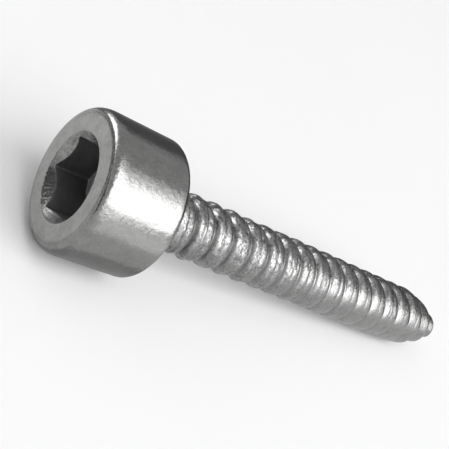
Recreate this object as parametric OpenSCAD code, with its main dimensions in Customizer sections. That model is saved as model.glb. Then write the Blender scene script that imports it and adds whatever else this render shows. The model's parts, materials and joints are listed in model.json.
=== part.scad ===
// Socket head self-tapping screw, lying as it comes to rest on a flat surface.
// A cylindrical cap head with a hexagon socket stands on a shank that is rolled from
// the same wire: a short plain neck, then a coarse right-hand thread with broad round
// crests and narrow valleys, which runs on over a blunt bulging point.
// All sizes are in millimetres. The screw is drawn along +Z, with the drive face at
// z = 0 and the tip at the top, and is then laid down on its head and its last crests.

/* [Head] */
// Diameter of the cylindrical head
head_d = 10; // [8:0.1:14]
// Height of the head, from the drive face to the bearing face
head_h = 6; // [5.4:0.1:9]
// How far the rounding of the front edge reaches in over the drive face
front_edge_in = 0.5; // [0.1:0.05:0.9]
// How far the rounding of the front edge runs back along the side
front_edge_back = 1; // [0.1:0.05:1.5]
// Radius of the rear edge, at the bearing face
rear_edge_r = 0.4; // [0.1:0.05:1]

/* [Hexagon socket] */
// Width of the socket across its flats
socket_af = 5.1; // [3:0.1:6.2]
// Depth of the socket's flats below the drive face
socket_depth = 3; // [2:0.1:3.6]
// How much wider the countersunk mouth is than the socket across its corners
mouth_margin = 0.35; // [0.1:0.05:1.5]
// Full angle of the countersink
mouth_angle = 90; // [60:1:130]
// Full angle of the drill point that the flats end in
drill_angle = 120; // [100:1:150]

/* [Shank] */
// Length of the shank, from the bearing face to the tip
shank_l = 35; // [16:0.5:60]
// Length of the plain neck under the head, up to where the thread begins
neck_l = 0.6; // [0:0.1:4]
// How far the thread's first crests stand out past the neck
neck_step = 0.45; // [0:0.05:0.8]
// Length of the fillet between the bearing face and the neck, along the axis
fillet_l = 0.4; // [0.1:0.05:0.6]
// How far out past the widest crests the fillet begins, on the bearing face
fillet_out = 0.1; // [0.05:0.05:0.5]

/* [Thread] */
// Diameter over the crests at the head end
thread_d = 4.7; // [4:0.05:6]
// Diameter over the crests where the point begins: the rolled thread swells a little
thread_end_d = 5.05; // [4:0.05:6]
// Distance from one crest to the next, along the axis
pitch = 1.8; // [1.2:0.05:2.4]
// Depth of the valleys below the crests at the head end
thread_depth = 0.75; // [0.2:0.05:0.9]
// Depth of the valleys where the point begins
thread_end_depth = 0.25; // [0.1:0.05:0.9]
// Fullness of the crests: 1 is a plain V thread and 4 has nearly flat crests
crest_fullness = 1.8; // [1:0.1:4]
// Length over which the thread rises out of the neck
thread_rise = 1.6; // [0.6:0.1:4]
// Turn of the whole thread about the axis, in degrees
thread_turn = 160; // [0:5:355]

/* [Point] */
// Length of the point, where the crests close in on the axis
point_l = 5.8; // [3:0.1:9]
// Bulge of the point's outline: 1 is a straight cone and 3 is nearly a dome
point_bulge = 1.6; // [1:0.1:3]
// Diameter of the small flat at the very tip
tip_d = 0.5; // [0.2:0.1:1.5]

/* [Hidden] */
$fn = 96;

// Facets of the thread: steps around one turn, and steps from one valley to the next
turn_steps = 36;
pitch_steps = 6;
// Steps in the arc of a rounded edge
arc_steps = 6;
// How far a cut runs out past the face that it starts from
cut_over = 0.5;

// Radii and stations along the axis that follow from the sizes above
head_r = head_d / 2;
thread_r = thread_d / 2;
thread_end_r = thread_end_d / 2;
neck_r = thread_r - neck_step;
fillet_r = max(thread_r, thread_end_r) + fillet_out;
tip_r = tip_d / 2;
total_l = head_h + shank_l;
point_z = total_l - point_l;
thread_z = head_h + neck_l;

// The socket: its corners, its countersink and the cone under its flats
socket_corner_d = socket_af / cos(30);
mouth_r = (socket_corner_d + mouth_margin) / 2;
mouth_slope = tan(mouth_angle / 2);
mouth_inner_r = 0.45 * socket_af;
mouth_depth = (mouth_r - mouth_inner_r) / mouth_slope;
drill_l = socket_af / 2 / tan(drill_angle / 2);
socket_end_z = socket_depth + drill_l;

// The shank is sunk half way into the web between the socket and the bearing face
root_z = (socket_end_z + head_h) / 2;
screw_l = total_l - root_z;

// A whole number of steps runs from root to tip, so the lead is within 0.1% of the pitch
steps = round(screw_l / pitch * turn_steps);
lead = screw_l * turn_steps / steps;
columns = steps + turn_steps;

// Share of the way from valley to valley, with the steps closest together in the valleys
function phase(j) = (1 - cos(180 * j / pitch_steps)) / 2;

// Height of the ridge over the valley at a phase, from 0 to 1
function ridge(p) = 1 - pow(abs(2 * p - 1), crest_fullness);

// 0 below a, 1 above b, and a smooth rise between them
function smooth_rise(x, a, b) =
    let (t = min(1, max(0, (x - a) / (b - a)))) t * t * (3 - 2 * t);

// Value at z of a size that runs evenly from a, where the thread begins, to b, at the point
function along(z, a, b) =
    a + (b - a) * min(1, max(0, (z - thread_z) / (point_z - thread_z)));

// Share of the full thread left at z: 1 up to the point, then along its bulge down to 0
function point_share(z) = 1 - pow(min(1, max(0, z - point_z) / point_l), point_bulge);

// Radius of the surface that the crests touch
function crest_r(z) = tip_r + (along(z, thread_r, thread_end_r) - tip_r) * point_share(z);

// Depth of the valleys below that surface
function valley_depth(z) = along(z, thread_depth, thread_end_depth) * point_share(z);

// Radius of the shank: the plain neck, out of which the thread rises
function shank_r(z, p) =
    let (on = smooth_rise(z, thread_z, thread_z + thread_rise))
    (1 - on) * neck_r + on * (crest_r(z) - valley_depth(z) * (1 - ridge(p)));

// The shank's skin is one long strip, wound like the thread, whose upper edge meets its own
// lower edge one turn on. Its first and last turns are wedges, so that both ends are flat.
function strip_low(i) = root_z + lead * max(0, i - turn_steps) / turn_steps;
function strip_high(i) = root_z + lead * min(i, steps) / turn_steps;
function strip_z(i, j) = strip_low(i) + (strip_high(i) - strip_low(i)) * phase(j);
function strip_angle(i) = 360 * i / turn_steps + thread_turn;

function strip_point(i, j) =
    let (z = strip_z(i, j), r = shank_r(z, phase(j)), a = strip_angle(i))
    [r * cos(a), r * sin(a), z];

// Points of the strip, column by column, and the centres of the two flat ends
row = pitch_steps + 1;
strip_points = [for (i = [0:columns]) for (j = [0:pitch_steps]) strip_point(i, j)];
root_centre = len(strip_points);
tip_centre = root_centre + 1;
shank_points = concat(strip_points, [[0, 0, root_z], [0, 0, total_l]]);

// Number of the point that stands for (i, j): points that coincide share one number
function point_at(i, j) =
    i == 0 ? point_at(turn_steps, 0)
    : i == columns ? i * row
    : j == pitch_steps && i <= steps ? point_at(i + turn_steps, 0)
    : i * row + j;

// Two triangles of the strip, without those that the wedges shrink to a line
function quad(i, j) =
    let (a = point_at(i, j), b = point_at(i + 1, j),
         c = point_at(i + 1, j + 1), d = point_at(i, j + 1))
    concat(b == c ? [] : [[a, c, b]], a == d ? [] : [[a, d, c]]);

shank_faces = concat(
    [for (i = [0:columns - 1]) for (j = [0:pitch_steps - 1]) each quad(i, j)],
    [for (i = [0:turn_steps - 1]) [root_centre, point_at(i, 0), point_at(i + 1, 0)]],
    [for (i = [steps:columns - 1])
        [tip_centre, point_at(i + 1, pitch_steps), point_at(i, pitch_steps)]]
);

// The rest: the lower side is +X, and the rear edge's arc and one crest touch the surface.
// A point's tilt is the angle at which it would touch, and the first to touch sets the tilt.
rear_arc_z = head_h - rear_edge_r;
rear_arc_r = head_r - rear_edge_r;

function touch_tilt(z, x) =
    let (dz = z - rear_arc_z, dx = x - rear_arc_r)
    asin(rear_edge_r / norm([dz, dx])) - atan2(dx, dz);

tilt = min([for (p = strip_points) if (p[2] > head_h + head_r) touch_tilt(p[2], p[0])]);
axis_height = rear_arc_z * sin(tilt) + rear_arc_r * cos(tilt) + rear_edge_r;
front_x = -(head_r - front_edge_in) * sin(tilt);
tip_x = total_l * cos(tilt) + tip_r * sin(tilt);

// Lays an upright screw down, with the middle of its footprint at the origin
module lie_down() {
    translate([-(front_x + tip_x) / 2, 0, axis_height])
        rotate([0, 90 + tilt, 0])
            children();
}

// Half outline of the head: drive face, front rounding, side, rear arc, bearing face
function head_outline() = concat(
    [[0, 0]],
    [for (k = [0:arc_steps]) let (a = 90 * k / arc_steps)
        [head_r - front_edge_in * (1 - sin(a)), front_edge_back * (1 - cos(a))]],
    [for (k = [0:arc_steps]) let (a = 90 * k / arc_steps)
        [rear_arc_r + rear_edge_r * cos(a), rear_arc_z + rear_edge_r * sin(a)]],
    [[0, head_h]]
);

// Turned so that no facet's corner lies underneath: a polygonal head then rests on a flat
module head_blank() {
    rotate([0, 0, 180])
        rotate_extrude() polygon(head_outline());
}

// The hexagon with one corner towards the surface that the screw lies on
module hex_socket() {
    translate([0, 0, -cut_over])
        linear_extrude(cut_over + socket_depth)
            circle(d = socket_corner_d, $fn = 6);
    translate([0, 0, -cut_over])
        cylinder(
            h = cut_over + mouth_depth,
            r1 = mouth_r + cut_over * mouth_slope,
            r2 = mouth_inner_r
        );
    translate([0, 0, socket_depth])
        cylinder(h = drill_l, d1 = socket_af, d2 = 0);
}

// A ring with a hollow flank, from the bearing face to the neck. It begins outside the
// crests, so that a plate whose hole clears the fillet also passes over the thread.
module under_head_fillet() {
    flare = fillet_r - neck_r;
    rotate_extrude()
        polygon(concat(
            [[neck_r / 2, head_h - fillet_l / 2], [fillet_r, head_h - fillet_l / 2]],
            [for (a = [0:16:80])
                [neck_r + flare * (1 - sin(a)), head_h + fillet_l * (1 - cos(a))]],
            [[neck_r / 2, head_h + fillet_l * (1 - cos(80))]]
        ));
}

module threaded_shank() {
    polyhedron(points = shank_points, faces = shank_faces, convexity = 8);
}

module screw() {
    color("darkgray")
        lie_down() {
            difference() {
                head_blank();
                hex_socket();
            }
            under_head_fillet();
            threaded_shank();
        }
}

screw();
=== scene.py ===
"""A socket head self-tapping screw, lying on a pale floor. Sizes are in millimetres.

The screw is made in a frame of its own: x down, y left of the tip, z from the drive face
to the tip. A way round its axis is in degrees, from x towards y.
"""
import json
import math

import bpy
import numpy as np
from mathutils import Matrix, Vector

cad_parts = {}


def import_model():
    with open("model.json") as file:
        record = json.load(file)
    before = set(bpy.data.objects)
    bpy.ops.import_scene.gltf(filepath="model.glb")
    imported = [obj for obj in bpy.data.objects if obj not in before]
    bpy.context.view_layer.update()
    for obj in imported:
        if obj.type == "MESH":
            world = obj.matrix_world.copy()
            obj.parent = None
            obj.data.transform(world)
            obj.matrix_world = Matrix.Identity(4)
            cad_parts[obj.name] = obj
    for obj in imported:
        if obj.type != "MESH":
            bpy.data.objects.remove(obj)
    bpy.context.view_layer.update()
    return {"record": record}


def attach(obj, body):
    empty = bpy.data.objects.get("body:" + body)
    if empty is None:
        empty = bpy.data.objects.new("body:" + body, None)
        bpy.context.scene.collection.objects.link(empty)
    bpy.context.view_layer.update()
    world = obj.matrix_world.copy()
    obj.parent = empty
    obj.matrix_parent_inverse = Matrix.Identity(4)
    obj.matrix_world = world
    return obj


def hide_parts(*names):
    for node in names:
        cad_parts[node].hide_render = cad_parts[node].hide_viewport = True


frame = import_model()

# Blender's own unit is the metre
MM = 0.001

# The head and its rounded edges
HEAD_R = 5.0
HEAD_H = 6.0
FRONT_IN = 0.5
FRONT_BACK = 1.0
FRONT_SAG = 0.036
REAR_R = 0.4

# The socket, whose mouth is countersunk at 45 degrees, so that it is as deep as it is wide
SOCKET_AF = 5.1
SOCKET_DEPTH = 3.0
SOCKET_CORNER = 0.16
MOUTH_MARGIN = 0.35
DRILL_ANGLE = 120.0

# The torn part of the mouth: how high and how wide the tear is, how many degrees a rag takes
# up, and how far the rags shift from one ring to the next, in rags
TEAR_HEIGHT = 0.07
TEAR_WIDTH = 0.15
RAG_WIDTH = 2.5
RAG_SHIFT = 1.3

# The shank and its thread. The valleys' depth and the crests' fullness differ a little from
# the part's source: the crests are worn flatter in front, and the valleys are deeper elsewhere.
SHANK_L = 35.0
NECK_L = 0.6
NECK_STEP = 0.45
FILLET_L = 0.4
FILLET_OUT = 0.1
THREAD_R = 2.35
THREAD_END_R = 2.525
PITCH = 1.8
PITCH_FACETS = 36
THREAD_DEPTH = 0.8
THREAD_END_DEPTH = 0.25
FULLNESS = 1.25
LOW_FULLNESS = 3.2
WORN_FULLNESS = 5.4
THREAD_RISE = 1.6
THREAD_TURN = 160.0

# The point, whose turns stand out as bands, and its tip, which is notched and bent aside
POINT_L = 5.8
POINT_BULGE = 1.6
POINT_BANDS = 0.6
FRONT_BANDS = 0.6
BAND_MIDDLE = 0.63
BAND_FLATNESS = 8
TIP_BANDS_LOST = 0.6
TIP_R = 0.25
TIP_LEAST_R = 0.2
TIP_BEND_X = -0.2304
TIP_BEND_Y = 0.2772
TIP_NOTCH = 0.4
TIP_NOTCH_BACK = 0.45
TIP_NOTCH_L = 0.22

# What follows from them. A whole number of the part's facets runs from the root of the
# thread to its tip, which sets the lead.
SOCKET_R = SOCKET_AF / 2
SOCKET_CORNER_R = SOCKET_R / math.cos(math.radians(30))
MOUTH_R = SOCKET_CORNER_R + MOUTH_MARGIN / 2
DRILL_L = SOCKET_R / math.tan(math.radians(DRILL_ANGLE / 2))
NECK_R = THREAD_R - NECK_STEP
FILLET_R = THREAD_END_R + FILLET_OUT
TOTAL_L = HEAD_H + SHANK_L
POINT_Z = TOTAL_L - POINT_L
THREAD_Z = HEAD_H + NECK_L
ROOT_Z = (SOCKET_DEPTH + DRILL_L + HEAD_H) / 2
FACETS = round((TOTAL_L - ROOT_Z) / PITCH * PITCH_FACETS)
LEAD = (TOTAL_L - ROOT_Z) * PITCH_FACETS / FACETS

# Sides of the screw: the way that each faces, and the cosines of the angle to that way at
# which it begins and is full
FRONT = (236, 0.1, 0.85)
LOW_SIDE = (310, -0.2, 0.5)
TOP_SIDE = (140, 0.2, 0.85)
# The scaly side is the thread's top side: it is scaly and scored, and painted shade darkens it
SCALY_SHADED_SIDE = (186, 0.6, 0.95)
NOTCH_SIDE = (275, -0.1, 0.6)
# The torn side is dark partly from the tear and partly from painted shade; the side after it is
# darkened by painted shade alone
TORN_SHADED_SIDE = (28, 0.8, 0.93)
SHADE_BESIDE_TEAR_SIDE = (-27, 0.8, 0.95)

# Stretches along z over which something begins or fades
WEAR_FADES = (16, 29)
LOW_SIDE_BEGINS = (17, 28)
SCUFFS_FADE = (13, 30)
SCALES_AND_SHADE_FADE = (20, 34)
CLEAN_AND_UNSHADED_BEGINS = (15, 28)
THREAD_BEGINS = (THREAD_Z, THREAD_Z + THREAD_RISE)
MARKS_BEGIN = (THREAD_Z, THREAD_Z + 1)
MARKS_FADE = (TOTAL_L - 1.5, TOTAL_L)
BANDS_FADE = (TOTAL_L - 1.6, TOTAL_L - 0.4)
BRIGHT_TIP_BEGINS = (TOTAL_L - 3, TOTAL_L - 1)
TIP_BENDS = (TOTAL_L - 1.1, TOTAL_L)

# How much the wear lessens towards the point, how much of the valleys is filled, and how
# much deeper they are on the top side, first and last: all as shares
WEAR_LOST = 0.3
WORN_FILLED = 0.35
LOW_SIDE_FILLED = 0.65
TOP_SIDE_DEEPER = 0.15
TOP_SIDE_END_DEEPER = 1.5

# Marks of the rolling on each turn. Places and widths across a turn run from -1 in one
# valley to 1 in the next.
SEAM_AT = 0.02
SEAM_SWAY = 0.13
SEAM_SHIVER = 0.05
SEAM_WIDTH = 0.11
SEAM_LEAST = 0.25
SEAM_DEPTH = 0.06
LAP_AT = -0.36
LAP_SWAY = 0.16
LAP_WIDTH = 0.1
LAP_DEPTH = 0.03
PIT_DEPTH = 0.05
WAVE_HEIGHT = 0.016
SCALE_HEIGHT = 0.004
LONG_SCALES = 0.6

# The noise, the share of the crest or the place on the flank at which they begin and are full
SEAM_SHOWS = (-0.5, 0.3)
LAP_SHOWS = (0.0, 0.5)
PITS_SHOW = (0.45, 0.75)
PITTED_CREST = (0.2, 0.6)
MARKED_CREST = (0.0, 0.35)
SCORED_CREST = (0.0, 0.6)
# Where painted shade darkens the flank next to each valley
SHADED_FLANK = (0.5, 0.8)

# How dark the marks are, how dark the painted shade on the flanks and on the thread's top side is,
# and how scuffed, clean and scored the steel between them is
SEAM_DARK = 0.7
LAP_DARK = 0.5
PIT_DARK = 0.9
FLANK_SHADE = 0.25
TOP_SIDE_SHADE = 0.3
SCUFFS_LOST = 0.75
SCALES_AND_SHADE_LOST = 0.4
# The crests are worn bright and the valleys are dark, partly as painted shade, with less of it
# towards the point
CREST_CLEAN_AND_UNSHADED = 3.5
END_CLEAN_AND_UNSHADED = 0.8
CREST_SCORED = 0.65

# The same for the mouth of the socket, where it is sound, where it is torn, and beside the tear;
# the torn part is dark partly from the tear and partly from painted shade, and beside it the
# darkness is painted shade
MOUTH_BRIGHT = 0.9
MOUTH_SCORED = 0.3
TORN_DULL_AND_SHADE = 0.85
TORN_SCORED = 0.7
SHADE_BESIDE_TEAR = 0.65

# The mesh: columns in one turn of the thread and round the head, rows in a pitch, and the
# column where the strip that makes the thread starts, half way from the fillet to the thread
TURN_COLS = 144
HEAD_COLS = 2 * TURN_COLS
PITCH_ROWS = 24
STRIP_Z = HEAD_H + (FILLET_L + NECK_L) / 2
STRIP_START = round((STRIP_Z - ROOT_Z) / LEAD * TURN_COLS)

# Where the head's rings lie: as shares of a stretch, as steps in and back from the face's
# rim, as angles of a rounding, or as counts, and the gaps between an edge and the next ring
CONE_SHARES = (0.25, 0.5, 0.75, 0.97)
FLAT_SHARES = (0.02, 0.1, 0.22, 0.34, 0.46, 0.58, 0.7, 0.82, 0.92)
MOUTH_SHARES = (0.02, 0.12, 0.3, 0.5, 0.7, 0.88, 0.98)
RIM_STEPS = ((0.08, 0.006), (0.04, 0.018), (0.0, 0.032))
FRONT_ANGLES = np.radians([7, 14, 23, 33, 44, 56, 68, 80, 90])
REAR_ANGLES = np.radians([15, 30, 45, 60, 75, 90])
FILLET_ANGLES = np.radians([0, 15, 30, 45, 60, 75, 90])
FACE_RINGS = 12
SIDE_RINGS = 18
UNDER_RINGS = 5
SHARP_GAP = 0.03
LIP_GAP = 0.012
MOUTH_GAP = 0.1
RIM_GAP = 0.17
SIDE_GAP = 0.2
REAR_GAP = 0.3
FILLET_GAP = 0.02

# Tones of the steel
TONE = (0.31, 0.31, 0.305)
# The head's side and front edge take a darker copy of the face's steel: painted shade
SHADED_SIDE_TONE = (0.23, 0.23, 0.227)
SOCKET_TONE = (0.22, 0.22, 0.22)
THREAD_TONE = (0.275, 0.275, 0.272)
THREAD_DARK = (0.2, 0.2, 0.2)
# The mouth's darkest tone, which holds painted shade on its torn part and beside it
MOUTH_DARK = (0.07, 0.07, 0.07)
FLECK_TONE = (0.05, 0.05, 0.05)

# Patterns in the steel: the noise at which each begins and is full, and their strengths
SHADE_EDGE = (0.36, 0.64)
SPOT_EDGE = (0.25, 0.75)
SPOT_ROUGHER = 0.2
CLOUD_EDGE = (0.35, 0.55)
CLOUD_LEAST = 0.6
SCORE_EDGE = (0.55, 0.61)
SCORE_SCALE = (9, 2.2, 2.2)
SCORE_DULL = 0.65
FLECK_EDGE = (0.54, 0.6)
FLECK_DARK = 0.85

# Roughness of scuffed steel where it is dull, where it is bright, and where it is scored too
DULL_ROUGH = 0.34
BRIGHT_ROUGH = 0.24
SCORED_ROUGH = 0.25

# Heights and depths on scuffed steel, and the share of the heights that is left where smooth
SCALE_BUMP = 0.022
LINE_BUMP = 0.008
SMOOTH_BUMP = 0.3
SCORE_CUT = 0.018
FLECK_CUT = 0.012

# The room: how bright it is overhead, how high that begins and is full, and its fill light
CEILING = 0.66
CEILING_FROM = 0.25
CEILING_FULL = 0.55
FILL = 0.5
FLOOR_HALF = 4000.0
FLOOR_TONE = 0.93
FLOOR_ROUGH = 0.9
FLOOR_GLOSS = 0.1

# The lamps, with powers in watts
KEY_RISE = math.radians(42)
KEY_LEAN = 0.3
KEY_AWAY = 1200.0
KEY_RIGHT = 500.0
KEY_SIZE = (1900.0, 1070.0)
KEY_POWER = 19.0
HALO_AWAY = 1100.0
HALO_RIGHT = 400.0
HALO_SIZE = (1600.0, 1980.0)
HALO_POWER = 13.0
BOUNCE_AT = (9.5, -50.0, 1.0)
BOUNCE_LINE = (0.487, -0.873, 0)
BOUNCE_SIZE = (80.0, 30.0)
BOUNCE_POWER = 0.0048
RIM_WAY = (-0.52, 0.74, 0.37)
RIM_AWAY = 1200.0
RIM_SIZE = (980.0, 980.0)
RIM_POWER = 11.5

# Dark cards that stand in a ring round the screw: both ends in degrees, height and tone
RING_R = 60.0
RING_STEPS = 16
RING_CARDS = {
    "flag_far": (5, 100, 46.0, 0.1),
    "flag_end": (100, 200, 16.0, 0.2),
    "flag_side": (-17, 5, 56.0, 0.1),
}

# Dark cards that lie just over the floor: two corners and tone
FLAT_CARD_Z = 0.2
FLAT_CARDS = {
    # flag_below stands in for the floor's shade under the head, as the metal sees it: painted shade
    "flag_below": ((-21, -6.5), (-10.5, 0), 0.52),
    "flag_behind": ((-17, 6), (40, 57), 0.15),
}

# The camera and a point on its line of sight, in the screw's own frame, the picture's turn
# from the upright, and the lens
CAM_AT = (-27.817, -37.661, -24.704)
CAM_AIM = (-0.971, 0.680, 13.093)
CAM_ROLL = math.radians(43.53)
CAM_LENS = 65.98
CAM_SENSOR = 36
CAM_NEAR = 1.0
CAM_FAR = 10000.0


# ---------------------------------------------------------------- placing

def matrix_of(x, y, z, at):
    """The matrix of a frame with these axes, at a place in m."""
    m = Matrix((x, y, z)).transposed().to_4x4()
    m.translation = at
    return m


def screw_place():
    """The matrix from the screw's own frame, in mm, to the world, in m."""
    drive = next(m for m in frame["record"]["mounts"] if m["name"] == "hex_drive")
    axis = -Vector(drive["axis"]).normalized()
    left = Vector((0, 1, 0))
    down = left.cross(axis)
    return matrix_of(down, left, axis, Vector(drive["pos_m"])) @ Matrix.Scale(MM, 4)


PLACE = screw_place()


def to_world(points):
    m = np.array(PLACE)
    return points @ m[:3, :3].T + m[:3, 3]


def add_object(name, data):
    obj = bpy.data.objects.new(name, data)
    bpy.context.scene.collection.objects.link(obj)
    return obj


def mesh_object(name, points, faces):
    mesh = bpy.data.meshes.new(name)
    mesh.from_pydata(points, [], faces)
    return add_object(name, mesh)


# ---------------------------------------------------------------- smooth noise

def lattice(ix, iy, seed):
    """A value between -1 and 1 for each point of a grid, the same on every run."""
    h = (ix * 374761393 + iy * 668265263 + seed * 1442695041) & 0xFFFFFFFF
    h = ((h ^ (h >> 13)) * 1274126177) & 0xFFFFFFFF
    return ((h ^ (h >> 16)) & 0xFFFF) / 65535.0 * 2 - 1


def noise(x, y, seed, wrap=0):
    """Smooth noise between -1 and 1; wrap is its period along x, a whole number."""
    x0 = np.floor(x).astype(np.int64)
    y0 = np.floor(y).astype(np.int64)
    fx = x - x0
    fy = y - y0
    fx = fx * fx * (3 - 2 * fx)
    fy = fy * fy * (3 - 2 * fy)
    xa = x0 % wrap if wrap else x0
    xb = (x0 + 1) % wrap if wrap else x0 + 1
    low = lattice(xa, y0, seed) * (1 - fx) + lattice(xb, y0, seed) * fx
    high = lattice(xa, y0 + 1, seed) * (1 - fx) + lattice(xb, y0 + 1, seed) * fx
    return low * (1 - fy) + high * fy


def texture(turns, u, per_turn, across, seed):
    """Smooth noise on the thread, with so many waves to a turn and across half its width."""
    return noise(turns * per_turn, u * across, seed)


def wander(turns, per_turn, seed):
    """Smooth noise along the thread, the same all across it."""
    return noise(turns * per_turn, 0 * turns, seed)


def step(x, a, b):
    """0 below a, 1 above b, and a smooth rise between them."""
    t = np.clip((x - a) / (b - a), 0, 1)
    return t * t * (3 - 2 * t)


def bump(x, at, width):
    """1 at a place, and a smooth fall to 0 on both sides of it."""
    return np.exp(-(((x - at) / width) ** 2))


def on_side(way, side):
    """Share of a side of the screw, from 0 to 1, at a way round its axis."""
    middle, begins, full = side
    return step(np.cos(np.radians(way - middle)), begins, full)


# ---------------------------------------------------------------- the head

def hex_radius(way):
    """Radius of the socket's wall, whose rounded corners are at 0, 60 and so on."""
    half = math.radians(30)
    beta = np.radians(np.abs((way + 30) % 60 - 30))
    flat = SOCKET_R / np.cos(half - beta)
    centre = (SOCKET_R - SOCKET_CORNER) / math.cos(half)
    inside = np.maximum(SOCKET_CORNER ** 2 - (centre * np.sin(beta)) ** 2, 0)
    arc = centre * np.cos(beta) + np.sqrt(inside)
    reach = math.atan2(SOCKET_CORNER / 2, centre + SOCKET_CORNER * math.cos(half))
    return np.where(beta < reach, arc, flat)


def socket_rows(wall):
    """Rings of the drill point's cone, the flats and the mouth: part, radius and station."""
    low = SOCKET_DEPTH
    mouth_z = MOUTH_R - wall
    rows = [("socket", SOCKET_R * t, low + DRILL_L * (1 - t)) for t in CONE_SHARES]
    rows.append(("socket", SOCKET_R, low))
    rows.append(("socket", wall - SHARP_GAP, low))
    rows += [("socket", wall, low + (mouth_z - low) * t) for t in FLAT_SHARES]
    rows.append(("socket", wall, mouth_z + LIP_GAP))
    rows += [("mouth", wall + mouth_z * t, mouth_z * (1 - t)) for t in MOUTH_SHARES]
    rows.append(("mouth", MOUTH_R + SHARP_GAP, 0.0))
    return rows


def front_rows():
    """Rings of the drive face and its rounded edge."""
    rim = HEAD_R - FRONT_IN
    face = np.linspace(MOUTH_R + MOUTH_GAP, rim - RIM_GAP, FACE_RINGS)
    rows = [("face", r, 0.0) for r in face]
    rows += [("edge", rim - inward, z) for inward, z in RIM_STEPS]
    for a in FRONT_ANGLES:
        r = HEAD_R - FRONT_IN * (1 - math.sin(a))
        z = FRONT_BACK * (1 - math.cos(a)) + FRONT_SAG * (1 - math.sin(a))
        rows.append(("edge", r, z))
    return rows


def rear_rows():
    """Rings of the side, the rear edge, the bearing face and the fillet under the head."""
    arc_r = HEAD_R - REAR_R
    arc_z = HEAD_H - REAR_R
    side = np.linspace(FRONT_BACK + SIDE_GAP, arc_z, SIDE_RINGS)
    under = np.linspace(arc_r - REAR_GAP, FILLET_R + FILLET_GAP, UNDER_RINGS)
    flare = FILLET_R - NECK_R
    rows = [(HEAD_R, z) for z in side]
    rows += [(arc_r + REAR_R * math.cos(a), arc_z + REAR_R * math.sin(a)) for a in REAR_ANGLES]
    rows += [(r, HEAD_H) for r in under]
    for a in FILLET_ANGLES:
        rows.append((NECK_R + flare * (1 - math.sin(a)), HEAD_H + FILLET_L * (1 - math.cos(a))))
    return [("side", r, z) for r, z in rows]


def head_points(rows, way, wall):
    """Points of the head's rings and their wear and painted shade: the bright share, which painted
    shade darkens on the mouth's torn part and beside it, and the scored share.
    """
    a = np.radians(way)
    points = [np.array([[0, 0, SOCKET_DEPTH + DRILL_L]])]
    wear_and_shade = [np.ones((1, 2))]
    for row, (part, r, z) in enumerate(rows):
        mouth = float(part == "mouth")
        torn_and_shaded = mouth * on_side(way, TORN_SHADED_SIDE)
        shade_beside_tear = mouth * on_side(way, SHADE_BESIDE_TEAR_SIDE) * (1 - torn_and_shaded)
        shift = 0 * way + row * RAG_SHIFT
        rags = noise(way / RAG_WIDTH, shift, seed=31, wrap=round(360 / RAG_WIDTH))
        z = z + TEAR_HEIGHT * torn_and_shaded * rags * np.clip((r - wall) / TEAR_WIDTH, 0, 1)
        points.append(np.stack([r * np.cos(a), r * np.sin(a), z], 1))
        # Painted shade darkens the torn part, on top of its own dullness, and the mouth beside it
        bright = MOUTH_BRIGHT - TORN_DULL_AND_SHADE * torn_and_shaded - SHADE_BESIDE_TEAR * shade_beside_tear
        wear_and_shade.append(np.stack([bright, MOUTH_SCORED + TORN_SCORED * torn_and_shaded], 1))
    return np.concatenate(points), np.concatenate(wear_and_shade)


def skin_of_head():
    """The head's points, faces, a part's name for each face, its last ring's start, and wear with
    painted shade.
    """
    n = HEAD_COLS
    way = np.arange(n) * 360 / n + THREAD_TURN
    wall = hex_radius(way)
    rows = socket_rows(wall) + front_rows() + rear_rows()
    points, wear_and_shade = head_points(rows, way, wall)
    faces = [(0, 1 + (k + 1) % n, 1 + k) for k in range(n)]
    parts = ["socket"] * n
    for row in range(1, len(rows)):
        hi = 1 + row * n
        lo = hi - n
        for k in range(n):
            m = (k + 1) % n
            faces.append((lo + k, lo + m, hi + m, hi + k))
        parts += [rows[row][0]] * n
    last_ring = 1 + (len(rows) - 1) * n
    return points, faces, parts, last_ring, wear_and_shade


# ---------------------------------------------------------------- the thread

def along(z, a, b):
    """A size that runs evenly from a, where the thread begins, to b, at the point."""
    return a + (b - a) * np.clip((z - THREAD_Z) / (POINT_Z - THREAD_Z), 0, 1)


def point_share(z):
    """Share of the full thread left: 1 up to the point, then down to 0 along its bulge."""
    return 1 - np.clip((z - POINT_Z) / POINT_L, 0, 1) ** POINT_BULGE


def crest_radius(z, p, front):
    """Radius that the crests touch, with each turn over the point as a band of its own."""
    band = (POINT_BANDS + FRONT_BANDS * front) * LEAD * (BAND_MIDDLE - p)
    band = band * (1 - np.abs(2 * p - 1) ** BAND_FLATNESS)
    band = band * (1 - TIP_BANDS_LOST * step(z, *BANDS_FADE))
    return TIP_R + (along(z, THREAD_R, THREAD_END_R) - TIP_R) * point_share(z + band)


def valley_depth(z, way, low_side, worn):
    """Depth of the valleys: less on the low side and where worn, more on the top side."""
    depth = along(z, THREAD_DEPTH, THREAD_END_DEPTH) * point_share(z)
    deeper = on_side(way, TOP_SIDE) * along(z, TOP_SIDE_DEEPER, TOP_SIDE_END_DEEPER)
    return depth * (1 - LOW_SIDE_FILLED * low_side) * (1 - WORN_FILLED * worn) * (1 + deeper)


def ridge(p, low_side, worn):
    """Height of a turn over its valleys, from 0 to 1: fuller on the low side and if worn."""
    fullness = FULLNESS + (LOW_FULLNESS - FULLNESS) * low_side
    fullness = fullness + (WORN_FULLNESS - fullness) * worn
    return 1 - np.abs(2 * p - 1) ** fullness


def thread_radius(z, p, way):
    """Radius of the shank at a station, a phase (0 to 1 from valley to valley) and a way."""
    front = on_side(way, FRONT)
    worn = front * (1 - WEAR_LOST * step(z, *WEAR_FADES))
    low_side = on_side(way, LOW_SIDE) * step(z, *LOW_SIDE_BEGINS)
    valley = valley_depth(z, way, low_side, worn) * (1 - ridge(p, low_side, worn))
    on = step(z, *THREAD_BEGINS)
    return (1 - on) * NECK_R + on * (crest_radius(z, p, front) - valley)


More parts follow.
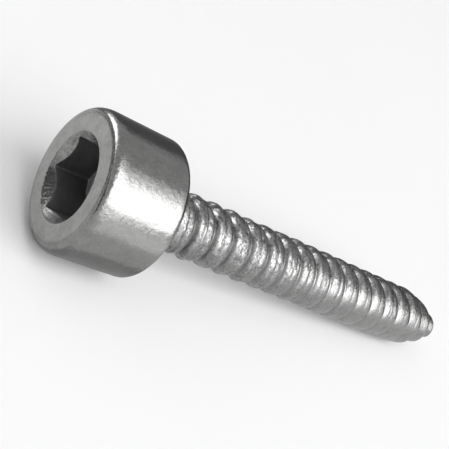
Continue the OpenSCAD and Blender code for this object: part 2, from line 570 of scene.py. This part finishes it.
def rolled_seam(turns, u):
    """The line that the rolling leaves along the crest, which sways, comes and goes."""
    at = SEAM_AT + SEAM_SWAY * wander(turns, per_turn=2.3, seed=11)
    at = at + SEAM_SHIVER * wander(turns, per_turn=9.0, seed=21)
    shows = step(wander(turns, per_turn=4.0, seed=12), *SEAM_SHOWS)
    return bump(u, at, SEAM_WIDTH) * (SEAM_LEAST + (1 - SEAM_LEAST) * shows)


def rolled_lap(turns, u):
    """A shallower line nearer the head, with gaps."""
    at = LAP_AT + LAP_SWAY * wander(turns, per_turn=1.7, seed=13)
    shows = step(wander(turns, per_turn=3.3, seed=14), *LAP_SHOWS)
    return bump(u, at, LAP_WIDTH) * shows


def rolled_pits(turns, u, crest):
    """Small pits, on the crests alone."""
    shows = step(texture(turns, u, per_turn=34, across=3.4, seed=15), *PITS_SHOW)
    return shows * step(crest, *PITTED_CREST)


def unevenness(turns, u, crest):
    """Height of the waves and fine scales of the rolled surface, in mm."""
    waves = texture(turns, u, per_turn=7, across=1.5, seed=18)
    scales = texture(turns, u, per_turn=58, across=5.5, seed=16)
    scales = scales + LONG_SCALES * texture(turns, u, per_turn=17, across=7.5, seed=17)
    return WAVE_HEIGHT * waves + SCALE_HEIGHT * scales * crest


def shank_marks(z, p, way, turns):
    """Marks on the thread: height in mm, never above 0, bright share, which painted shade darkens
    in the valleys, on the flanks next to them and on the top side, and scored share.
    """
    u = 2 * p - 1
    crest = np.clip(1 - u * u, 0, 1)
    scuffed = 1 - SCUFFS_LOST * step(z, *SCUFFS_FADE)
    # The top side is scaly and scored, and painted shade darkens it
    scales_and_shade = on_side(way, SCALY_SHADED_SIDE) * (1 - SCALES_AND_SHADE_LOST * step(z, *SCALES_AND_SHADE_FADE))
    seam = rolled_seam(turns, u)
    lap = rolled_lap(turns, u)
    pits = rolled_pits(turns, u, crest)
    # Painted shade on each turn's flank next to its valley on the head's side
    flank_shade = FLANK_SHADE * step(-u, *SHADED_FLANK)
    cut = SEAM_DEPTH * seam + LAP_DEPTH * lap + PIT_DEPTH * pits
    height = (unevenness(turns, u, crest) - cut) * scuffed * step(crest, *MARKED_CREST)
    dark = SEAM_DARK * seam + LAP_DARK * lap + PIT_DARK * pits + flank_shade
    dark = np.maximum(np.clip(dark, 0, 1) * scuffed, TOP_SIDE_SHADE * scales_and_shade)
    # Darker in the valleys: partly wear on the crests, partly painted shade, less towards the point
    clean_and_unshaded = np.clip(crest * CREST_CLEAN_AND_UNSHADED + END_CLEAN_AND_UNSHADED * step(z, *CLEAN_AND_UNSHADED_BEGINS), 0, 1)
    scored = np.maximum(scuffed * step(crest, *SCORED_CREST) * CREST_SCORED, scales_and_shade)
    return np.minimum(height, 0), clean_and_unshaded * (1 - dark), scored


def strip_grid():
    """The strip that is wound into the thread: columns to the tip, stations, phases, turns."""
    cols = round((TOTAL_L - ROOT_Z) / LEAD * TURN_COLS)
    col = np.arange(STRIP_START, cols + TURN_COLS + 1)
    start_z = ROOT_Z + LEAD * STRIP_START / TURN_COLS
    valley = ROOT_Z + LEAD * (col - TURN_COLS) / TURN_COLS
    low = np.maximum(valley, start_z)
    high = np.minimum(valley + LEAD, TOTAL_L)
    t = np.arange(PITCH_ROWS + 1) / PITCH_ROWS
    z = low[:, None] + (high - low)[:, None] * t[None, :]
    p = np.clip((z - valley[:, None]) / LEAD, 0, 1)
    turns = np.broadcast_to((col / TURN_COLS)[:, None], z.shape)
    return cols, z, p, turns


def shank_points(z, p, turns):
    """Points of the strip and their wear and painted shade: the bright share and the scored share.
    """
    way = turns * 360 + THREAD_TURN
    height, bright, scored = shank_marks(z, p, way, turns)
    begun = step(z, *MARKS_BEGIN)
    marked = begun * (1 - step(z, *MARKS_FADE))
    notch = bump(z, TOTAL_L - TIP_NOTCH_BACK, TIP_NOTCH_L) * on_side(way, NOTCH_SIDE)
    r = thread_radius(z, p, way) + height * marked - TIP_NOTCH * notch
    r = np.maximum(r, TIP_LEAST_R)
    bent = step(z, *TIP_BENDS)
    x = r * np.cos(np.radians(way)) + TIP_BEND_X * bent
    y = r * np.sin(np.radians(way)) + TIP_BEND_Y * bent
    bright = np.maximum(bright * begun, step(z, *BRIGHT_TIP_BEGINS))
    wear_and_shade = np.stack([bright, scored * marked], 2)
    return np.stack([x, y, z], 2).reshape(-1, 3), wear_and_shade.reshape(-1, 2)


def strip_numbers(start, cols):
    """A function that numbers the strip's points, and points that coincide alike."""
    rows = PITCH_ROWS + 1

    def number(col, row):
        if col == STRIP_START:
            return start + TURN_COLS * rows
        if col == cols + TURN_COLS:
            return start + (cols - STRIP_START) * rows + PITCH_ROWS
        if row == PITCH_ROWS and col <= cols:
            return number(col + TURN_COLS, 0)
        return start + (col - STRIP_START) * rows + row

    return number


def strip_faces(number, cols):
    """The strip's faces: quads, and triangles where one of its ends runs out as a wedge."""
    faces = []
    for col in range(STRIP_START, cols + TURN_COLS):
        for row in range(PITCH_ROWS):
            quad = [number(col, row), number(col + 1, row),
                    number(col + 1, row + 1), number(col, row + 1)]
            kept = [v for k, v in enumerate(quad) if v != quad[k - 1]]
            if len(kept) > 2:
                faces.append(tuple(kept))
    return faces


def skin_of_shank(start):
    """The shank's points, faces, first ring, and wear with painted shade; its points are numbered
    from start.
    """
    cols, z, p, turns = strip_grid()
    points, wear_and_shade = shank_points(z, p, turns)
    number = strip_numbers(start, cols)
    faces = strip_faces(number, cols)
    ring = [number(STRIP_START + k, 0) for k in range(TURN_COLS)]
    rim = [number(cols + k, PITCH_ROWS) for k in range(TURN_COLS)]
    tip = start + len(points)
    faces += [(rim[k], rim[(k + 1) % TURN_COLS], tip) for k in range(TURN_COLS)]
    points = np.concatenate([points, [[TIP_BEND_X, TIP_BEND_Y, TOTAL_L]]])
    wear_and_shade = np.concatenate([wear_and_shade, [[1, 0]]])
    return points, faces, ring, wear_and_shade


def neck_faces(head_ring, ring):
    """Joins the head's last ring to the shank's first, which has half as many points."""
    faces = []
    for k in range(TURN_COLS):
        m = (k + 1) % TURN_COLS
        a, b, c = [head_ring + (2 * (k + STRIP_START) + j) % HEAD_COLS for j in (0, 1, 2)]
        faces += [(a, b, ring[k]), (b, ring[m], ring[k]), (b, c, ring[m])]
    return faces


def keep_wear_and_shade(mesh, wear_and_shade):
    """Keeps the bright and scored shares, which hold wear and painted shade, as the red and green
    of a colour at each point.
    """
    kept = mesh.attributes.new("wear_and_shade", "FLOAT_COLOR", "POINT")
    kept.data.foreach_set("color", np.insert(wear_and_shade, [2, 2], 1, axis=1).ravel())


def give_finishes(mesh, parts):
    """Gives each face the finish of its part."""
    finishes = steel_parts()
    names = list(finishes)
    for finish in finishes.values():
        mesh.materials.append(finish)
    mesh.polygons.foreach_set("material_index", [names.index(part) for part in parts])
    mesh.polygons.foreach_set("use_smooth", [True] * len(parts))


def make_screw():
    points, faces, parts, head_ring, wear_and_shade = skin_of_head()
    more, shank_faces, ring, shank_wear_and_shade = skin_of_shank(len(points))
    faces += shank_faces + neck_faces(head_ring, ring)
    parts += ["thread"] * (len(faces) - len(parts))
    points = to_world(np.concatenate([points, more]))
    piece = mesh_object("screw_body", points.tolist(), faces)
    keep_wear_and_shade(piece.data, np.concatenate([wear_and_shade, shank_wear_and_shade]))
    give_finishes(piece.data, parts)
    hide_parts("screw")
    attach(piece, "root")


# ---------------------------------------------------------------- materials

class Nodes:
    """Short names for making and linking the nodes of one material or world."""

    def __init__(self, tree):
        self.tree = tree

    def link(self, value, node, key):
        self.tree.links.new(value, node.inputs[key])

    def add(self, kind, inputs=None, **settings):
        """A new node; each of its inputs is a value, or another node's output."""
        node = self.tree.nodes.new(kind)
        for key, value in settings.items():
            setattr(node, key, value)
        for key, value in (inputs or {}).items():
            if isinstance(value, bpy.types.NodeSocket):
                self.link(value, node, key)
            else:
                node.inputs[key].default_value = value
        return node

    def math(self, operation, a, b, clamp=False):
        node = self.add("ShaderNodeMath", {0: a, 1: b}, operation=operation, use_clamp=clamp)
        return node.outputs[0]

    def total(self, *terms):
        """The sum of some values, each of them times its weight."""
        result, *rest = [self.math("MULTIPLY", value, weight) for value, weight in terms]
        for term in rest:
            result = self.math("ADD", result, term)
        return result

    def noise(self, where, per_mm, rough, detail=2.0, warp=0.0):
        ins = {"Vector": where, "Scale": per_mm, "Detail": detail, "Roughness": rough,
               "Distortion": warp}
        return self.add("ShaderNodeTexNoise", ins).outputs["Fac"]

    def spread(self, value, low, high, to_low=0.0, to_high=1.0, smooth=False):
        ins = {"Value": value, "From Min": low, "From Max": high, "To Min": to_low,
               "To Max": to_high}
        kind = "SMOOTHSTEP" if smooth else "LINEAR"
        node = self.add("ShaderNodeMapRange", ins, interpolation_type=kind)
        return node.outputs["Result"]


def new_material(name):
    mat = bpy.data.materials.new(name)
    mat.use_nodes = True
    return mat, Nodes(mat.node_tree), mat.node_tree.nodes["Principled BSDF"]


def new_metal(name):
    """A metal's material, node maker and shader, and its coordinates in millimetres."""
    mat, n, shader = new_material(name)
    shader.inputs["Metallic"].default_value = 1.0
    where = n.add("ShaderNodeTexCoord").outputs["Object"]
    ins = {"Vector": where, "Scale": (1 / MM, 1 / MM, 1 / MM)}
    return mat, n, shader, n.add("ShaderNodeMapping", ins).outputs["Vector"]


def matte(name, tone, rough=1.0, gloss=0.5):
    mat, _, shader = new_material(name)
    shader.inputs["Base Color"].default_value = (tone, tone, tone, 1)
    shader.inputs["Roughness"].default_value = rough
    shader.inputs["Specular IOR Level"].default_value = gloss
    return mat


def bumped(n, shader, height):
    """Raises the surface by a height in millimetres."""
    node = n.add("ShaderNodeBump", {"Height": height, "Strength": 1.0, "Distance": MM})
    n.link(node.outputs["Normal"], shader, "Normal")


def tint(n, share, low, high):
    """A colour that goes from low to high as share goes from 0 to 1."""
    return n.add("ShaderNodeMix", {0: share, 6: low, 7: high}, data_type="RGBA").outputs[2]


def rgba(tone, factor=1.0):
    return (*[c * factor for c in tone], 1)


def steel(name, tone, rough, mottle, grain, vary):
    """Bare tumbled steel: tone, roughness, mottle and grain in mm, and change of tone."""
    mat, n, shader, where = new_metal(name)
    clouds = n.noise(where, per_mm=0.9, rough=0.6, detail=3.0)
    spots = n.noise(where, per_mm=3.4, rough=0.6, warp=0.4)
    specks = n.noise(where, per_mm=7.0, rough=0.8)
    grains = n.noise(where, per_mm=12.0, rough=0.7)
    shade = n.spread(n.total((clouds, 0.4), (spots, 0.2), (specks, 0.4)), *SHADE_EDGE)
    n.link(tint(n, shade, rgba(tone, 1 - vary), rgba(tone, 1 + vary)), shader, "Base Color")
    least = rough * (1 - SPOT_ROUGHER)
    most = rough * (1 + SPOT_ROUGHER)
    n.link(n.spread(spots, *SPOT_EDGE, least, most), shader, "Roughness")
    bumped(n, shader, n.total((spots, mottle), (grains, grain)))
    return mat


def wear_and_shade_shares(n):
    """The bright share, which holds wear and painted shade, and the scored share that the mesh
    keeps at its points.
    """
    wear_and_shade = n.add("ShaderNodeAttribute", attribute_name="wear_and_shade").outputs["Color"]
    shares = n.add("ShaderNodeSeparateColor", {"Color": wear_and_shade}).outputs
    return shares["Red"], shares["Green"]


def score_lines(n, where):
    """Noise drawn out across the screw's length."""
    drawn = n.add("ShaderNodeMapping", {"Vector": where, "Scale": SCORE_SCALE})
    return n.noise(drawn.outputs["Vector"], per_mm=1.0, rough=0.65, detail=3.0, warp=0.6)


def scuffed_steel(name, tone, dark):
    """Rolled steel: bright where it is worn, dull and dark elsewhere, with painted shade in the
    dark share, and with scores and flecks.
    """
    mat, n, shader, where = new_metal(name)
    bright, scored = wear_and_shade_shares(n)
    clouds = n.noise(where, per_mm=1.6, rough=0.65, detail=3.0)
    lines = score_lines(n, where)
    specks = n.noise(where, per_mm=5.0, rough=0.7, warp=0.5)
    scales = n.noise(where, per_mm=4.0, rough=0.6, warp=1.0)
    scores = n.math("MULTIPLY", n.spread(lines, *SCORE_EDGE, smooth=True), scored)
    flecks = n.spread(specks, *FLECK_EDGE, 0.0, FLECK_DARK, smooth=True)
    flecks = n.math("MULTIPLY", flecks, scored)
    clean_and_unshaded = n.math("MULTIPLY", bright, n.spread(clouds, *CLOUD_EDGE, CLOUD_LEAST, 1.0))
    clean_and_unshaded = n.math("SUBTRACT", clean_and_unshaded, n.math("MULTIPLY", scores, SCORE_DULL), clamp=True)
    colour = tint(n, clean_and_unshaded, rgba(dark), rgba(tone))
    n.link(tint(n, flecks, colour, rgba(FLECK_TONE)), shader, "Base Color")
    worn_rough = n.spread(scored, 0.0, 1.0, BRIGHT_ROUGH, SCORED_ROUGH)
    n.link(n.spread(clean_and_unshaded, 0.0, 1.0, DULL_ROUGH, worn_rough), shader, "Roughness")
    height = n.total((scales, SCALE_BUMP), (lines, LINE_BUMP))
    height = n.math("MULTIPLY", height, n.spread(scored, 0.0, 1.0, SMOOTH_BUMP, 1.0))
    cuts = n.total((scores, SCORE_CUT), (flecks, FLECK_CUT))
    bumped(n, shader, n.math("SUBTRACT", height, cuts))
    return mat


def steel_parts():
    """The finishes of the head's and the thread's parts, in the order of their slots."""
    return {
        "face": steel("steel_face", TONE, rough=0.34, mottle=0.016, grain=0.004, vary=0.24),
        "side": steel("steel_side", SHADED_SIDE_TONE, rough=0.21, mottle=0.018, grain=0.0015, vary=0.16),
        "edge": steel("steel_edge", SHADED_SIDE_TONE, rough=0.2, mottle=0.03, grain=0.005, vary=0.2),
        "socket": steel("steel_socket", SOCKET_TONE, rough=0.4, mottle=0.01, grain=0.004, vary=0.2),
        "mouth": scuffed_steel("steel_mouth", TONE, MOUTH_DARK),
        "thread": scuffed_steel("steel_thread", THREAD_TONE, THREAD_DARK),
    }


# ---------------------------------------------------------------- the studio

def floor():
    s = FLOOR_HALF * MM
    corners = [(-s, -s, 0), (s, -s, 0), (s, s, 0), (-s, s, 0)]
    obj = mesh_object("floor", corners, [(0, 1, 2, 3)])
    obj.data.materials.append(matte("floor", FLOOR_TONE, FLOOR_ROUGH, FLOOR_GLOSS))


def world():
    """A pale room with a greyer ceiling, which the camera, gloss and glass all see."""
    w = bpy.data.worlds.new("studio")
    bpy.context.scene.world = w
    w.use_nodes = True
    n = Nodes(w.node_tree)
    n.tree.nodes.clear()
    way = n.add("ShaderNodeTexCoord").outputs["Generated"]
    height = n.add("ShaderNodeSeparateXYZ", {"Vector": way}).outputs["Z"]
    room = n.spread(height, CEILING_FROM, CEILING_FULL, 1.0, CEILING, smooth=True)
    rays = n.add("ShaderNodeLightPath").outputs
    seen = n.math("MAXIMUM", rays["Is Camera Ray"], rays["Is Transmission Ray"])
    seen = n.math("MAXIMUM", seen, rays["Is Glossy Ray"])
    light = n.add("ShaderNodeMix", {"Factor": seen, "A": FILL, "B": room}, data_type="FLOAT")
    strength = light.outputs["Result"]
    back = n.add("ShaderNodeBackground", {"Color": (1, 1, 1, 1), "Strength": strength})
    n.link(back.outputs["Background"], n.add("ShaderNodeOutputWorld"), "Surface")


def panel(name, at, facing, line, size, power, shape="RECTANGLE", on_floor=False):
    """A soft light at a place, square to a direction, with its length along a line."""
    lamp = bpy.data.lights.new(name, "AREA")
    lamp.shape = shape
    lamp.size = size[0] * MM
    lamp.size_y = size[1] * MM
    lamp.energy = power
    obj = add_object(name, lamp)
    back = Vector(facing).normalized()
    side = (Vector(line) - back * back.dot(Vector(line))).normalized()
    obj.matrix_world = matrix_of(side, back.cross(side), back, Vector(at) * MM)
    obj.visible_camera = False
    obj.visible_diffuse = on_floor


def lamps():
    """The key in its wider halo, in front and above, a strip low down, and a round rim light.

    Only the key lights the floor: the others light the metal alone.
    """
    up = Vector((0, -math.cos(KEY_RISE), math.sin(KEY_RISE)))
    right = Vector((1, 0, 0))
    line = right - Vector((0, math.sin(KEY_RISE), math.cos(KEY_RISE))) * KEY_LEAN
    rim = Vector(RIM_WAY).normalized()
    key_at = up * KEY_AWAY + right * KEY_RIGHT
    halo_at = up * HALO_AWAY + right * HALO_RIGHT
    panel("key", key_at, up, line, KEY_SIZE, KEY_POWER, on_floor=True)
    panel("halo", halo_at, up, line, HALO_SIZE, HALO_POWER)
    panel("bounce", BOUNCE_AT, (0, 0, -1), BOUNCE_LINE, BOUNCE_SIZE, BOUNCE_POWER)
    panel("rim", rim * RIM_AWAY, rim, (0, 0, 1), RIM_SIZE, RIM_POWER, shape="ELLIPSE")


def card(name, points, faces, tone):
    """A dark card that only the metal's reflections show."""
    obj = mesh_object(name, [[c * MM for c in point] for point in points], faces)
    obj.data.materials.append(matte(name, tone))
    obj.visible_camera = False
    obj.visible_diffuse = False
    obj.visible_shadow = False


def ring_card(name, start, end, height, tone):
    """A low card that curves round the screw."""
    points = []
    for k in range(RING_STEPS + 1):
        turn = math.radians(start + (end - start) * k / RING_STEPS)
        x = RING_R * math.cos(turn)
        y = RING_R * math.sin(turn)
        points += [(x, y, 0.0), (x, y, height)]
    faces = [(2 * k, 2 * k + 2, 2 * k + 3, 2 * k + 1) for k in range(RING_STEPS)]
    card(name, points, faces, tone)


def flat_card(name, low, high, tone):
    """A card that lies just over the floor, between two corners."""
    corners = [low, (high[0], low[1]), high, (low[0], high[1])]
    card(name, [(x, y, FLAT_CARD_Z) for x, y in corners], [(0, 1, 2, 3)], tone)


def cards():
    for name, ring in RING_CARDS.items():
        ring_card(name, *ring)
    for name, flat in FLAT_CARDS.items():
        flat_card(name, *flat)


def camera():
    cam = add_object("camera", bpy.data.cameras.new("camera"))
    bpy.context.scene.camera = cam
    at = PLACE @ Vector(CAM_AT)
    back = (at - PLACE @ Vector(CAM_AIM)).normalized()
    level = Vector((0, 0, 1)).cross(back).normalized()
    right = level * math.cos(CAM_ROLL) + back.cross(level) * math.sin(CAM_ROLL)
    cam.matrix_world = matrix_of(right, back.cross(right), back, at)
    cam.data.lens = CAM_LENS
    cam.data.sensor_width = CAM_SENSOR
    cam.data.clip_start = CAM_NEAR * MM
    cam.data.clip_end = CAM_FAR * MM


make_screw()
floor()
world()
lamps()
cards()
camera()
bpy.context.scene.view_settings.view_transform = "Standard"
